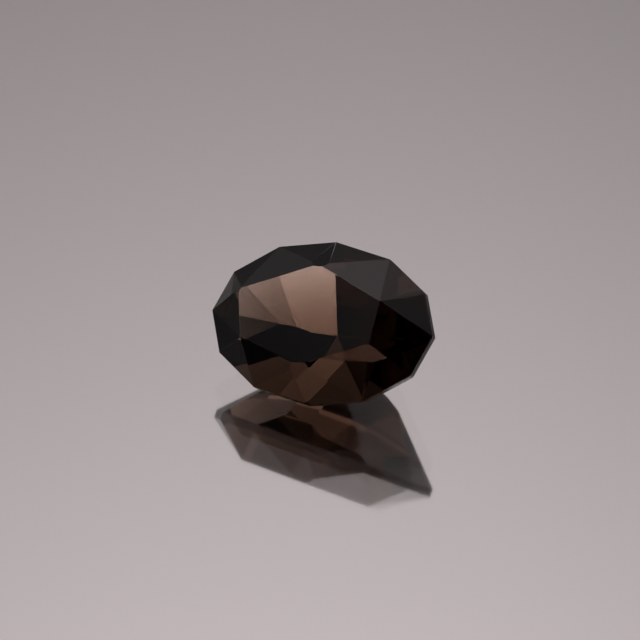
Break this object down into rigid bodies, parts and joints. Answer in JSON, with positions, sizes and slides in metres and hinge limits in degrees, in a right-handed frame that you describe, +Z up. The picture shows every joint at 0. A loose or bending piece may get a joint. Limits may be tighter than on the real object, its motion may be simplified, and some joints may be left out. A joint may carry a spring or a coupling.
{
  "type": "faceted oval obsidian gemstone",
  "caption": "Oval cut and polished piece of smoky brown volcanic glass with a flat table, a faceted crown, an upright girdle and a pointed pavilion, lying on one pavilion facet.",
  "frame": {"origin": "on the surface that the stone lies on, under the middle of its box", "axes": "+Z up, away from that surface; the stone's long axis is nearest +X and its table faces up, towards -Y and a little towards -X"},
  "size_m": [0.0094, 0.0064, 0.0054],
  "materials": {
    "polished_obsidian": "polished, glassy, dark smoky brown that shows light brown where light passes through"
  },
  "bodies": {
    "root": {"cut_stone": "polished_obsidian"}
  },
  "joints": []
}
